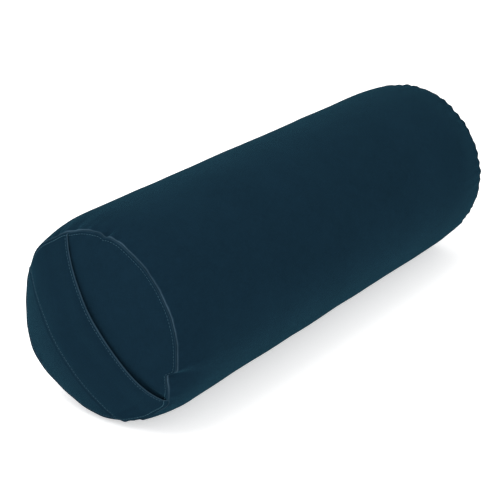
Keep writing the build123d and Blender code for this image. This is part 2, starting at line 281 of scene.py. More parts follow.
def seam_place(side, inset):
    """Place of an end seam: where the inset tube and the inset crown meet."""
    arc, sphere, cap_x = SHOULDER_ARC - inset, CROWN_SPHERE - inset, HALF + CROWN - CROWN_SPHERE
    tube = HALF - SHOULDER - cap_x + 1j * (RADIUS - SHOULDER_ARC)
    along = (sphere**2 - arc**2 + abs(tube) ** 2) / (2 * abs(tube))
    over = math.sqrt(sphere**2 - along**2)
    place = cap_x + (along + 1j * over) * tube / abs(tube)
    drop = (1.0 if side < 0 else PLAIN_DROP) * (RADIUS - inset - place.imag)
    return side * place.real + 1j * (RADIUS - inset - drop)


def turned(place, turn):
    """Directions in the row frame from those seen from the side, turned round the bolster's axis."""
    parts = np.broadcast_arrays(place.real, place.imag * np.cos(turn), place.imag * np.sin(turn))
    return np.stack(parts, -1)


def placed(place, turn):
    """Points in the row frame from places seen from the side, turned round the bolster's axis."""
    return turned(place, turn) + AXIS


def settled(points, low=0.0):
    """Points pressed flat by the floor, with a small rounding where they lift off it."""
    points[..., 2] = low + kept_over(points[..., 2] - low, 1.5 * MM)
    return points


def pressed(points, zip_place, distance):
    """Points pressed down to a flat plane under a zip, at a distance from the bolster's axis."""
    over = kept_over((points - AXIS) @ zip_place.normal - distance, 0.6 * MM)
    return points - over[..., None] * zip_place.normal


# Creases at the strap end: (angle round the axis, width, length, height), in degrees and mm
STRAP_END_CREASES = (
    (86, 2.2, 16, 0.5), (92, 1.8, 13, -0.9), (97.5, 1.6, 16, -2.6), (101.5, 1.5, 17, 1.1),
    (105, 1.5, 17, -1.7), (109.5, 1.8, 20, 0.7), (114, 1.6, 15, -0.8), (120, 2.0, 18, 0.4),
    (127, 2.0, 14, -0.4), (190.3, 1.2, 40, 1.2), (194.9, 1.9, 36, -2.3), (202, 2.4, 22, 0.5),
    (209, 2.4, 20, -0.7), (262, 2.2, 16, -1.5), (268, 2.4, 22, 1.0), (18, 2.2, 16, -1.4),
    (24, 2.0, 22, 0.8),
)
# Where the strap end's seam leaves its true circle: (angle, width, outwards), in degrees and mm
SEAM_BULGES = (
    (42, 10, 4.5), (93, 16, 3.4), (97, 2.2, -2.4), (107, 5.0, 1.6),
    (158, 32, -2.4), (257, 15, 2.2), (329, 17, 7.5),
)
# Where it is sewn off its line: (angle, width, along the tube), in degrees and mm
SEAM_SLIPS = ((221, 7, 8.0), (236, 13, 7.0))
# Where the painted highlight on the seam's edge is brighter or fainter: (angle, width, how much), in degrees
SEAM_HIGHLIGHTS = ((108, 9, 0.6), (184, 7, 0.6), (150, 25, 0.2), (240, 22, -0.6))
JOG_TURN = math.radians(195.2)  # the tube's closing seam is caught in the end seam here
JOG_SIZE = 8.5 * MM
JOG_TURNS = math.radians(2.4)
JOG_END = math.radians(18)


def seam_shift(turn, side):
    """How far an end seam wanders from its true circle."""
    rng = np.random.default_rng(3 + side)
    outwards = 0.35 * MM * ripples(0, turn, rng, 5, (1, 2), (5, 24))
    if side > 0:
        return 1j * (outwards + 0.5 * MM * ripples(0, turn, rng, 6, (1, 2), (40, 62)))
    outwards = outwards + MM * spots(turn, SEAM_BULGES)
    past_jog = turn_gap(turn, JOG_TURN)
    caught = JOG_SIZE * smooth(past_jog, -JOG_TURNS, JOG_TURNS) * (1 - smooth(past_jog, JOG_TURNS, JOG_END))
    return 1j * outwards + MM * spots(turn, SEAM_SLIPS) * ALONG_SHOULDER - caught * DOWN_CAP


def seam_corrected(place, turn, side, distance, inset, edge):
    """Places near an end seam moved so that the panel's edge, at place edge, lies on the wandering seam."""
    near, reach = np.exp(-distance / (4 * MM)), np.exp(-distance / (16 * MM))
    return place + (seam_place(side, inset) - edge) * near + seam_shift(turn, side) * reach


def gathers(distance, turn, rng, size, reach):
    """Small puckers that run from an end seam and fade with distance from it."""
    fine = ripples(0, turn, rng, 9, (1, 2), (42, 74))
    coarse = ripples(0, turn, rng, 5, (1, 2), (20, 38))
    patches = 0.55 + 0.45 * ripples(0, turn, rng, 4, (1, 2), (3, 9))
    near = np.exp(-distance / reach) * fine + 0.7 * np.exp(-distance / (2.4 * reach)) * coarse
    return size * near * patches * smooth(distance, 0.2 * MM, 2.5 * MM)


def strap_end_creases(distance, turn):
    """The larger creases that run from the strap end's seam along the tube."""
    height = 0
    for angle, width, length, size in STRAP_END_CREASES:
        spread = math.radians(width) * (1 + distance / (40 * MM))
        bend = math.radians(2.2) * np.exp(-distance / (7 * MM)) * (angle > 180)
        ridge = bell(turn_gap(turn, math.radians(angle)) - bend, 0, spread)
        height = height + size * MM * ridge * (1 - smooth(distance, 0, length * MM))
    return height * smooth(distance, 0, 3 * MM)


def tube_relief(path, turn):
    """Height of the cover's tube over its smooth shape."""
    rng = np.random.default_rng(11)
    height = 0.22 * MM * ripples(path, turn, rng, 7, (90 * MM, 260 * MM), (-4, 5))
    height = height + 0.06 * MM * ripples(path, turn, rng, 9, (35 * MM, 80 * MM), (-14, 15))
    height = height * smooth(np.minimum(path, TUBE_LENGTH - path), 0, 9 * MM)
    height = height + gathers(path, turn, rng, 0.20 * MM, 8 * MM)
    height = height + gathers(TUBE_LENGTH - path, turn, rng, 0.40 * MM, 9 * MM)
    height = height + inflated["tube"].sample(path, turn)
    height = height + strap_end_creases(path, turn)
    x = tube_point(path)[0].real
    height = height * smooth(slot_distance(x, turn, COVER_ZIP), 1 * MM, 12 * MM)
    over_case_zip = 1 - smooth(slot_distance(x, turn, CASE_ZIP), 16 * MM, 34 * MM)
    return height + over_case_zip * (0.6 * kept_over(height, 0.3 * MM) - height)


def cap_relief(path, turn, side):
    """Height of an end panel over its smooth shape: a raised seam allowance, a stitch line and puckers."""
    rng = np.random.default_rng(23 + side)
    band = 0.55 * MM * smooth(path, 0.3 * MM, 1.5 * MM) * (1 - smooth(path, 3.2 * MM, STITCH_LINE))
    groove = -0.35 * MM * bell(path, STITCH_LINE, 0.7 * MM)
    place = np.clip(1 - path / CAP_LENGTH, 0, 1)
    broad = 0.5 * MM * ripples(0, turn, rng, 4, (1, 2), (2, 6)) * place**2
    fine = gathers(np.clip(path - STITCH_LINE, 0, None), turn, rng, 0.30 * MM, 7 * MM)
    height = band + groove + broad + fine + inflated[side].sample(path, turn)
    if side > 0:
        return height
    share, across, from_edge = strap_place(cap_point(path, side)[0].imag, turn)
    under = strap_gap(share, across) - 0.3 * MM
    bedded = (1 - smooth(from_edge, -0.5 * MM, 2.5 * MM)) * smooth(path, 0.3 * MM, 2.5 * MM)
    hollow = 1.2 * MM * bell(share, -0.8, 0.2) * bell(from_edge, 0, 3.5 * MM) * (across > 0.5)
    return height + bedded * (np.minimum(under, height) - height) - hollow * smooth(path, 1 * MM, 6 * MM)


# --- the zips' places ---


class Zip:
    """Where one zip lies, read from its CAD nodes."""

    def __init__(self, prefix, turn, scale):
        self.prefix = prefix
        self.turn = math.radians(turn)
        self.scale = scale
        self.normal = np.array([0, math.cos(self.turn), math.sin(self.turn)])
        self.across = np.array([0, -math.sin(self.turn), math.cos(self.turn)])
        self.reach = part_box(f"{prefix}_zip_bottom_stop")[1].x
        points = [v.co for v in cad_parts[f"{prefix}_zip_tape_upper"].data.vertices]
        heights = [(np.array(p) - AXIS) @ self.normal for p in points]
        self.tape_low, self.tape_high = min(heights), max(heights)
        self.slot_half = 6.5 * MM * scale
        self.slot_reach = self.reach + 1 * MM

    def point(self, x, across, height):
        """Point in the row frame from a place on the zip; height is measured from the bolster's axis."""
        along = np.multiply.outer(x, TUBEWARDS)
        return AXIS + along + np.multiply.outer(across, self.across) + np.multiply.outer(height, self.normal)


COVER_ZIP = Zip("cover", -22, 1.0)
CASE_ZIP = Zip("inner_case", 150, 0.8)


def with_slot_steps(values, edges, steps):
    """Grid values with a line at each edge of the zip's opening and finer lines beside it."""
    for edge in edges:
        values = values[np.abs(values - edge) > 1.2 * steps[-1]]
    extra = [edge + sign * step for edge in edges for step in steps for sign in (-1, 1)]
    return np.unique(np.concatenate([values, extra]))


def slot_distance(x, turn, zip_place):
    """Distance outwards from the edge of a zip's opening; negative inside it."""
    sideways = np.abs(turn_gap(turn, zip_place.turn)) * RADIUS - zip_place.slot_half
    endways = np.abs(x) - zip_place.slot_reach
    outside = np.hypot(np.clip(sideways, 0, None), np.clip(endways, 0, None))
    return np.where(outside > 0, outside, np.maximum(sideways, endways))


def rolled(place, normal, height, roll, own, side):
    """A panel's places raised by a height; its edge rolls down between its own normal and the seam's."""
    dive = own * normal + (1 - own) * (side * SEAM_NORMAL.real + 1j * SEAM_NORMAL.imag)
    return place + height * normal - roll * dive


def tube_steps(first, growth, largest):
    """Path lengths along the tube whose steps grow from both of its ends."""
    half = growing_steps(first, growth, largest, TUBE_LENGTH / 2)
    return np.concatenate([half, (TUBE_LENGTH - half[:-1])[::-1]])


def tube_grid(zip_place, columns):
    """Path lengths and angles of a tube panel's grid, with lines along the edges of the zip's opening."""
    slot_steps = np.array([0.0, 0.3, 0.7, 1.2, 2.0]) * MM
    middle, half_turn = TUBE_LENGTH / 2, zip_place.slot_half / RADIUS
    path_edges = (middle - zip_place.slot_reach, middle + zip_place.slot_reach)
    turn_edges = (zip_place.turn - half_turn, zip_place.turn + half_turn)
    paths = with_slot_steps(tube_steps(FIRST_STEP, STEP_GROWTH, 5 * MM), path_edges, slot_steps)
    return paths, with_slot_steps(round_turns(columns, UNDERNEATH), turn_edges, slot_steps / RADIUS)


def tube_panel(name, material, zip_place, columns, inset, relief, flats=()):
    """A side panel with a zip's opening: rolled edges at its seams and round the opening."""
    paths, turns = tube_grid(zip_place, columns)
    path, turn = np.meshgrid(paths, turns, indexing="ij")
    place, normal = tube_point(path, inset)
    slot = slot_distance(place.real, turn, zip_place)
    height = relief(path, turn) - lip(np.clip(slot, 0, None), LIP) - 0.3 * MM * bell(slot, 3 * MM, 0.8 * MM)
    from_seam = np.minimum(path, TUBE_LENGTH - path)
    side = np.sign(path - TUBE_LENGTH / 2)
    place = rolled(place, normal, height, lip(from_seam, LIP), np.clip(from_seam / LIP, 0, 1), side)
    for end in (-1, 1):
        half = side == end
        edge = tube_point(0.0 if end < 0 else TUBE_LENGTH, inset)[0]
        place[half] = seam_corrected(place[half], turn[half], end, from_seam[half], inset, edge)
    points = settled(placed(place, turn), inset)
    for pressing_zip, distance in flats:
        points = pressed(points, pressing_zip, distance)
    faces = grid_faces(len(paths), len(turns))
    used, faces = np.unique(faces[slot.reshape(-1)[faces].mean(1) > 0], return_inverse=True)
    # Pale edges at the seams and round the zip's opening: a painted highlight where the fabric curls, with
    # some rubbed wear
    highlight_and_wear = seam_highlight_patches(turn) * bell(from_seam, 0.8 * MM, 0.8 * MM) + 0.8 * bell(slot, 0.6 * MM, 0.6 * MM)
    cloth = np.stack([turn * RADIUS, path, 0 * path], -1)
    points, cloth, highlight_and_wear = points.reshape(-1, 3)[used], cloth.reshape(-1, 3)[used], highlight_and_wear.reshape(-1)[used]
    return piece(name, points, faces.reshape(-1, 4), material, cloth, highlight_and_wear)


def seam_highlight_patches(turn):
    """How strong the painted highlight on a seam's edge is at each angle round it."""
    patches = 0.75 + 0.2 * ripples(0, turn, np.random.default_rng(31), 7, (1, 2), (3, 15))
    return np.clip(patches + spots(turn, SEAM_HIGHLIGHTS), 0.2, 1.4)


def cap_rings(paths, count, closest):
    """Rings of an end panel as (path length, number of points), halved where the points get too close."""
    rings = []
    for path in paths:
        if count > CAP_COLUMNS and math.tau * (CAP_LENGTH - path) / count < closest:
            count //= 2
        rings.append((path, count))
    return rings


def end_panel(name, material, side, columns, inset, relief):
    """A crowned round end panel with a rolled edge."""
    points, cloth, highlight_and_wear, faces, start = [], [], [], [], 0
    steps = growing_steps(FIRST_STEP, STEP_GROWTH, 3.2 * MM, CAP_LENGTH - 2 * MM)
    rings = cap_rings(steps, columns, 0.7 * MM)
    for number, (path, count) in enumerate(rings):
        turn = round_turns(count, UNDERNEATH)
        roll, own = LIP * lip(path, CAP_LIP) / CAP_LIP, min(path / CAP_LIP, 1)
        place = rolled(*cap_point(path, side, inset), relief(path, turn, side), roll, own, side)
        place = seam_corrected(place, turn, side, path, inset, cap_point(0.0, side, inset)[0])
        place = place - side * UNDERLAP * np.exp(-path / (1 * MM))
        points.append(settled(placed(place, turn), inset))
        flat = CAP_LENGTH - path
        cloth.append(np.stack([flat * np.cos(turn), flat * np.sin(turn), 0 * turn], -1))
        # A fainter painted highlight on the end panel's rolled edge, with some rubbed wear
        highlight_and_wear.append(0.25 * seam_highlight_patches(turn) * bell(path, 0.9 * MM, 0.6 * MM))
        if number:
            faces += ring_faces(start - rings[number - 1][1], rings[number - 1][1], start, count)
        start += count
    faces.append(list(range(start - rings[-1][1], start))[::-1])
    if side > 0:
        faces = [face[::-1] for face in faces]
    return piece(name, np.concatenate(points), faces, material, np.concatenate(cloth), np.concatenate(highlight_and_wear))


def ring_faces(outer, outer_count, inner, inner_count):
    """Faces between a ring and the next ring inwards, which has as many points or half as many."""
    faces = []
    for i in range(inner_count):
        after = (i + 1) % inner_count
        if outer_count == inner_count:
            faces.append([outer + i, inner + i, inner + after, outer + after])
            continue
        middle, last = outer + 2 * i + 1, outer + (2 * i + 2) % outer_count
        faces += [[middle - 1, inner + i, middle], [inner + i, inner + after, middle]]
        faces.append([middle, inner + after, last])
    return faces


# --- cloth simulation of the inflated cover ---


class Relief:
    """Heights on rows of evenly spaced points round the axis, read smoothly at any place."""

    def __init__(self, paths, heights):
        self.paths, self.heights = np.array(paths), np.array(heights)

    def sample(self, path, turn):
        path, turn = np.broadcast_arrays(path, turn)
        row = np.interp(path, self.paths, np.arange(len(self.paths)))
        column = (turn / (math.tau) % 1) * SIM_COLUMNS
        row_start, column_start = np.floor(row).astype(int), np.floor(column).astype(int)
        row_weights, column_weights = spline(row - row_start), spline(column - column_start)
        total = np.zeros(path.shape)
        for i in range(4):
            rows_here = np.clip(row_start + i - 1, 0, len(self.paths) - 1)
            for j in range(4):
                value = self.heights[rows_here, (column_start + j - 1) % SIM_COLUMNS]
                total += row_weights[i] * column_weights[j] * value
        return total


def spline(t):
    """Weights of four neighbours for a Catmull-Rom curve at a share t between the middle two."""
    return (
        -0.5 * t + t**2 - 0.5 * t**3,
        1 - 2.5 * t**2 + 1.5 * t**3,
        0.5 * t + 2 * t**2 - 1.5 * t**3,
        -0.5 * t**2 + 0.5 * t**3,
    )


def sim_rows():
    """Rows of the simulated bag: (part, path, number of points), from one end's middle to the other's."""
    rings = cap_rings(growing_steps(3 * MM, 1.1, 7 * MM, CAP_LENGTH - 5 * MM)[1:], SIM_COLUMNS, 2 * MM)
    tube = [("tube", path, SIM_COLUMNS) for path in tube_steps(3 * MM, 1.1, 9 * MM)]
    return [(-1, *ring) for ring in rings[::-1]] + tube + [(1, *ring) for ring in rings]


def bag_row(part, path, count, rng_seed):
    """Shape, start, rest shape and normals of one row, and whether it is sewn."""
    turn = round_turns(count)
    if part == "tube":
        place, normal = tube_point(path)
        from_seam = min(path, TUBE_LENGTH - path)
        bumps = gathers(from_seam, turn, np.random.default_rng(rng_seed), 0.5 * MM, 14 * MM)
        excess = EASE * math.exp(-from_seam / (30 * MM))
    else:
        place, normal = cap_point(path, part)
        from_seam, bumps, excess = path, 0 * turn, CAP_EASE
    sewn = part == "tube" and from_seam == 0
    pull_in = (0 if sewn else 1.5 * MM) * (1 - math.exp(-from_seam / (6 * MM)))
    start = placed(place - pull_in * normal + 1j * bumps * normal.imag, turn)
    rest = placed(place + 1j * excess * place.imag, turn)
    return placed(place, turn), start, rest, turned(normal, turn), sewn


def inflate():
    """Inflate the sewn bag by cloth simulation; its puckers and creases become reliefs for the panels."""
    rows = sim_rows()
    built = [bag_row(part, path, count, 71 + (path > TUBE_LENGTH / 2)) for part, path, count in rows]
    shape, start, rest, normal = (np.concatenate([row[k] for row in built]) for k in range(4))
    counts = [count for _, _, count in rows]
    sewn = np.repeat([row[4] for row in built], counts)
    starts = np.concatenate([[0], np.cumsum(counts)])
    faces = [list(range(counts[0])), list(range(starts[-2], starts[-1]))[::-1]]
    rings = list(zip(starts, counts))
    for here, there in zip(rings, rings[1:]):
        if here[1] >= there[1]:
            faces += [face[::-1] for face in ring_faces(*here, *there)]
        else:
            faces += ring_faces(*there, *here)
    bag = piece("bag", start, faces, None)
    bag.shape_key_add(name="start")
    rest_key = bag.shape_key_add(name="rest")
    rest_key.data.foreach_set("co", rest.ravel())
    bag.vertex_groups.new(name="sewn").add([int(i) for i in np.where(sewn)[0]], 1.0, "REPLACE")
    cloth = bag.modifiers.new("cloth", "CLOTH")
    for setting, value in CLOTH_SETTINGS.items():
        setattr(cloth.settings, setting, value)
    cloth.settings.rest_shape_key = rest_key
    cloth.settings.effector_weights.gravity = 0
    cloth.collision_settings.use_collision = False
    cloth.point_cache.frame_start, cloth.point_cache.frame_end = 1, SIM_FRAMES
    scene = bpy.context.scene
    for number in range(1, SIM_FRAMES + 1):
        scene.frame_set(number)
    evaluated = bag.evaluated_get(bpy.context.evaluated_depsgraph_get()).to_mesh()
    final = np.empty(len(shape) * 3, np.float32)
    evaluated.vertices.foreach_get("co", final)
    scene.frame_set(1)
    bpy.data.objects.remove(bag)
    moved = ((final.reshape(-1, 3) - shape) * normal).sum(1)
    found = {part: {} for part in PARTS}
    for row, (part, path, count) in zip(np.split(moved, starts[1:-1]), rows):
        row = np.clip(row - row.mean(), -SIM_REACH, SIM_REACH)
        around = np.arange(SIM_COLUMNS) * count / SIM_COLUMNS
        found[part][path] = np.interp(around, np.arange(count + 1), np.append(row, row[0]))
    return {part: Relief(sorted(at), [at[path] for path in sorted(at)]) for part, at in found.items()}


# --- carry strap ---


def strap_place(radius, turn):
    """Where a point lies from the strap: shares along and across it, and distance out from its edge."""
    lengthways, sideways = radius * np.cos(turn - STRAP_TURN), radius * np.sin(turn - STRAP_TURN)
    share = lengthways / np.sqrt(np.clip(SEAM_RADIUS**2 - sideways**2, 1e-6, None))
    from_middle = sideways - STRAP_OFFSET
    return share, from_middle / STRAP_WIDTH + 0.5, np.abs(from_middle) - STRAP_WIDTH / 2


def strap_gap(share, side):
    """Gap under the strap; share runs from -1 to 1 along it and side from 0 to 1 across it."""
    share, side = np.clip(share, -1, 1), np.clip(side, 0, 1)
    middle = 1 - np.abs(share) ** 6
    lifted = 4.2 - 0.9 * smooth(share, 0, 0.6)
    gap = -1.3 + (0.2 + lifted * smooth(side, 0.55, 1)) * middle
    lower_corner = 2.6 * smooth(share, -0.3, -0.85) * (1 - smooth(share, -0.96, -1.0)) * smooth(side, 0.5, 1)
    return (gap + lower_corner) * MM


def strap_point(share, across, rise):
    """Point on the strap: share runs from -1 to 1 along it; across and rise over its inner face in metres."""
    side = across / STRAP_WIDTH + 0.5
    sideways = STRAP_OFFSET + across
    reach = np.sqrt(SEAM_RADIUS**2 - sideways**2)
    end_turn = np.arctan2(sideways, np.sign(share) * reach) + STRAP_TURN
    shift = seam_shift(end_turn, -1)
    lengthways = share * reach
    over_centre = np.sqrt(np.clip(CROWN_SPHERE**2 - lengthways**2 - sideways**2, 0, None))
    height = over_centre - (CROWN_SPHERE - CROWN) + strap_gap(share, side)
    tuck = smooth(np.abs(share), 0.97, 1.0)
    rng = np.random.default_rng(5)
    waves = 0.25 * MM * ripples(share, side * 5, rng, 5, (0.5, 1.4), (-2, 3)) * (1 - share**2)
    wrinkle = 1.2 * MM * bell(share, -0.9 + 0.1 * side, 0.03) * bell(side, 0.45, 0.3)
    height = height + waves - wrinkle - 1.8 * MM * tuck + rise * (1 - 0.4 * tuck)
    pull = np.exp(-(1 - np.abs(share)) * reach / (16 * MM))
    place = np.multiply.outer(lengthways, ALONG) + np.multiply.outer(sideways, ACROSS)
    place = place * (1 + shift.imag * pull / SEAM_RADIUS)[..., None]
    return AXIS + place - np.multiply.outer(HALF + height - shift.real * pull, TUBEWARDS)


def strap_section():
    """Outline of the strap's flat section as (across, rise): rounded folded edges and two stitch grooves."""
    half, thick = STRAP_WIDTH / 2, STRAP_THICKNESS
    flat = np.linspace(-half + thick / 2, half - thick / 2, 57)
    groove = 0.35 * MM * bell(np.abs(flat), half - STRAP_STITCH, 0.8 * MM)
    swell = 0.25 * MM * smooth(half - np.abs(flat), STRAP_STITCH, STRAP_STITCH + 8 * MM)
    top = np.stack([flat, thick - groove + swell], -1)
    curve = np.linspace(math.pi / 2, -math.pi / 2, 9)[1:-1]
    right = np.stack([half - thick / 2 * (1 - np.cos(curve)), thick / 2 * (1 + np.sin(curve))], -1)
    bottom = np.stack([flat[::-1], np.zeros_like(flat)], -1)
    left = right[::-1] * np.array([-1, 1])
    return np.concatenate([top, right, bottom, left])


def carry_strap(material):
    """The strap as one closed band that bends between the cover and the hand."""
    section = strap_section()
    shares = np.linspace(-1, 1, 181)
    share, across = np.meshgrid(shares, section[:, 0], indexing="ij")
    rise = np.broadcast_to(section[:, 1], share.shape)
    points = strap_point(share, across, rise)
    faces = closed_faces(len(shares), len(section), True)
    # A painted highlight along the strap's folded edges, with some rubbed wear
    highlight_and_wear = 0.6 * bell(STRAP_WIDTH / 2 - np.abs(across), 0.2 * MM, 0.6 * MM)
    cloth = np.stack([across, share * SEAM_RADIUS, rise], -1)
    strap = piece("carry_strap_band", points, faces, material, cloth, highlight_and_wear)
    return strap_blend(strap, share)


def strap_blend(obj, share):
    """Blend a strap piece between the cover, at the strap's sewn ends, and its middle in the lifting hand."""
    middle, end = (strap_point(np.array([where]), np.array([0.0]), 0.0)[0] for where in (0.0, 1.0))
    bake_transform(obj, "cover", "carry_strap", start=end, end=middle)
    weights = 1 - smooth(np.abs(share), 0.0, 0.97)
    obj.data.attributes["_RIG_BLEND"].data.foreach_set("value", weights.astype(np.float32).ravel())
    return obj


# --- stitches ---


def stitches(name, material, runs):
    """Rows of stitches as small capsules; each run is (points, outward normals) along a line."""
    rings, spokes = 6, 7
    profile = np.linspace(0, math.pi, rings)
    capsule = closed_faces(rings, spokes, True)
    all_points, all_faces, places = [], [], []
    for line, normals in runs:
        lengths = np.concatenate([[0], np.cumsum(np.linalg.norm(np.diff(line, axis=0), axis=1))])
        count = int(lengths[-1] // (STITCH + STITCH_GAP))
        pitch = lengths[-1] / count
        for number in range(count):
            centre = (number + 0.5) * pitch
            at = centre - np.cos(profile) * STITCH / 2
            spine = np.stack([np.interp(at, lengths, line[:, k]) for k in range(3)], -1)
            up = np.array([np.interp(centre, lengths, normals[:, k]) for k in range(3)])
            forward = spine[-1] - spine[0]
            forward /= np.linalg.norm(forward)
            up = up - (up @ forward) * forward
            up /= np.linalg.norm(up)
            over = np.cross(forward, up)
            size = THREAD * np.sqrt(np.clip(np.sin(profile), 0.02, 1))
            sink = -0.8 * THREAD * np.cos(profile) ** 2
            around = round_turns(spokes)
            offset = np.cos(around)[:, None] * over + np.sin(around)[:, None] * up
            points = spine[:, None] + size[:, None, None] * offset[None] + (sink[:, None] * up)[:, None]
            start = len(all_points) * rings * spokes
            all_faces += [[start + corner for corner in face] for face in capsule]
            all_points.append(points.reshape(-1, 3))
            places.append(np.full(rings * spokes, centre / lengths[-1]))
    obj = piece(name, np.concatenate(all_points), all_faces, material)
    return obj, np.concatenate(places)


def stitch_line(side, inset, relief):
    """Points and normals along an end seam's stitches; relief is their height over the smooth panel."""
    turn = np.linspace(0, math.tau, STITCH_PLACES)
    place, normal = cap_point(STITCH_LINE, side, inset)
    place = place + relief(STITCH_LINE, turn, side) * normal
    place = seam_corrected(place, turn, side, STITCH_LINE, inset, cap_point(0.0, side, inset)[0])
    return placed(place, turn), turned(normal, turn)


def topstitch_relief(path, turn, side):
    """Height of the topstitching over a smooth end panel: on the panel, or on the strap where it crosses."""
    height = cap_relief(path, turn, side) + 0.5 * THREAD
    if side > 0:
        return height
    share, across, from_edge = strap_place(cap_point(path, side)[0].imag, turn)
    over_strap = strap_gap(share, across) + STRAP_THICKNESS
    return height + (1 - smooth(from_edge, 0, 1 * MM)) * (over_strap - height)


def strap_threads(material):
    """Two lines of edge stitching on the strap."""
    runs, shares = [], np.linspace(-STRAP_STITCHED, STRAP_STITCHED, 241)
    for edge in (-1, 1):
        across = np.full_like(shares, edge * (STRAP_WIDTH / 2 - STRAP_STITCH))
        line = strap_point(shares, across, STRAP_THICKNESS - 0.15 * MM)
        tangent = np.gradient(line, axis=0)
        normal = np.cross(tangent, ACROSS)
        normal *= -np.sign(normal[:, :1])
        runs.append((line, normal / np.linalg.norm(normal, axis=1)[:, None]))
    obj, place = stitches("carry_strap_edge_stitching", material, runs)
    return strap_blend(obj, STRAP_STITCHED * (2 * place - 1))


def zip_threads(material):
    """Topstitching on both sides of the cover's zip."""
    runs, x = [], np.linspace(-COVER_ZIP.reach, COVER_ZIP.reach, 201)
    for edge in (-1, 1):
        turn = COVER_ZIP.turn + edge * (COVER_ZIP.slot_half + 3 * MM) / RADIUS
        runs.append((placed(x + 1j * (RADIUS - 0.2 * MM), turn), turned(0 * x + 1j, turn)))
    obj, _ = stitches("cover_zip_stitching", material, runs)
    return obj


# --- zip tapes ---


def zip_tape(name, material, zip_place, side):
    """A woven tape with fine ribs and a cord along its inner edge."""
    scale, low = zip_place.scale, zip_place.tape_low
    thick = zip_place.tape_high - low
    inner, width = 0.9 * MM * scale, 14 * MM * scale
    share = np.linspace(0, 1, 43)
    ribs = 0.06 * MM * np.cos(share * math.tau * 14)
    cord = 0.05 * MM * scale * bell(share, 0.13, 0.05)
    top = np.stack([inner + width * share, thick - 0.07 * MM + ribs], -1)
    bottom = np.stack([inner + width * share[::-1], 0.05 * MM - cord[::-1]], -1)
    section = np.concatenate([top, bottom])
    node_low, node_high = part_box(f"{zip_place.prefix}_zip_tape_{'upper' if side > 0 else 'lower'}")
    xs = np.linspace(node_low.x, node_high.x, 131)
    x, across = np.meshgrid(xs, side * section[:, 0], indexing="ij")
    height = np.broadcast_to(low + section[:, 1], x.shape)
    points = zip_place.point(x, across, height)
    faces = closed_faces(len(xs), len(section), side > 0)
    cloth = np.stack([across, x, 0 * x], -1)
    return piece(name, points, faces, material, cloth, 0 * x)


# --- materials ---


class Nodes:
    """Short calls for building a node tree."""

    def __init__(self, name):
        self.material = bpy.data.materials.new(name)
        self.material.use_nodes = True
        self.tree = self.material.node_tree
        self.shader = self.tree.nodes["Principled BSDF"]

    def add(self, kind, inputs=None, **settings):
        node = self.tree.nodes.new(kind)
        for key, value in settings.items():
            setattr(node, key, value)
        for key, value in (inputs or {}).items():
            self.set(node.inputs[key], value)
        return node

    def set(self, socket, value):
        if isinstance(value, bpy.types.NodeSocket):
            self.tree.links.new(value, socket)
        else:
            socket.default_value = value

    def math(self, operation, first, second=0.0):
        return self.add("ShaderNodeMath", {0: first, 1: second}, operation=operation).outputs[0]

    def noise(self, vector, scale, detail=3.0, roughness=0.55):
        inputs = {"Vector": vector, "Scale": scale, "Detail": detail, "Roughness": roughness}
        return self.add("ShaderNodeTexNoise", inputs).outputs["Fac"]

    def mix(self, share, first, second):
        inputs = {"Factor": share, 6: first, 7: second}
        return self.add("ShaderNodeMix", inputs, data_type="RGBA").outputs[2]

    def between(self, value, low, high):
        """Map 0..1 to low..high."""
        inputs = {"Value": value, "To Min": low, "To Max": high}
        return self.add("ShaderNodeMapRange", inputs).outputs["Result"]

    def solid(self):
        """Place in the object's own space."""
        return self.add("ShaderNodeTexCoord").outputs["Object"]

    def stretched(self, place, scale):
        """Noise with a different scale each way."""
        scaled = self.add("ShaderNodeVectorMath", {0: place, 1: scale}, operation="MULTIPLY")
        return self.noise(scaled.outputs[0], 1.0)

    def shade(self, colour, tone):
        """The colour made lighter or darker."""
        inputs = {0: colour[:3], "Scale": tone}
        return self.add("ShaderNodeVectorMath", inputs, operation="SCALE").outputs[0]

    def bump(self, height, distance, strength):
        inputs = {"Height": height, "Distance": distance, "Strength": strength}
        return self.add("ShaderNodeBump", inputs).outputs["Normal"]

    def finish(self, **inputs):
        for key, value in inputs.items():
            self.set(self.shader.inputs[key.replace("_", " ")], value)
        return self.material


def linear(*srgb):
    """Linear colour, with alpha, from three sRGB values of 0 to 255."""
    channels = [v / 255 for v in srgb]
    return (*[((c + 0.055) / 1.055) ** 2.4 if c > 0.04045 else c / 12.92 for c in channels], 1.0)


def fabric(name, colour, pale, sheen_tint, pitch, specular=0.0):
    """Woven cotton: crossed threads, slubs, slow colour drift, edges painted pale as a highlight with some
    rubbed wear, and a soft sheen.
    """
    n = Nodes(name)
    place = n.add("ShaderNodeAttribute", attribute_name="cloth").outputs["Vector"]
    axes = n.add("ShaderNodeSeparateXYZ", {"Vector": place})
    threads = [n.math("SINE", n.math("MULTIPLY", axes.outputs[k], math.tau / pitch)) for k in (0, 1)]
    weave = n.math("MULTIPLY", threads[0], threads[1])
    slubs, cross = n.stretched(place, (900, 120, 900)), n.stretched(place, (120, 900, 900))
    drift, mottle = n.noise(n.solid(), 9.0, 4.0), n.noise(n.solid(), 70.0, 4.0)
    highlight_and_wear = n.add("ShaderNodeAttribute", attribute_name="highlight_and_wear").outputs["Fac"]
    tone = n.math("ADD", n.math("MULTIPLY", weave, 0.12), 1.0)
    for pattern, strength in ((drift, 0.16), (mottle, 0.10), (slubs, 0.20), (cross, 0.16)):
        tone = n.math("ADD", tone, n.between(pattern, -strength, strength))
    # Edges painted pale: a painted highlight with some rubbed wear, mottled
    rubbed = n.math("MULTIPLY", highlight_and_wear, n.between(mottle, 0.55, 1.15))
    height = n.math("ADD", n.math("MULTIPLY", weave, 0.5), n.math("ADD", slubs, cross))
    return n.finish(
        Base_Color=n.mix(rubbed, n.shade(colour, tone), pale),
        Roughness=n.between(mottle, 0.78, 0.92),
        Specular_IOR_Level=specular,
        Sheen_Weight=0.09,
        Sheen_Roughness=0.3,
        Sheen_Tint=sheen_tint,
        Normal=n.bump(height, 0.10 * MM, 0.8),
    )


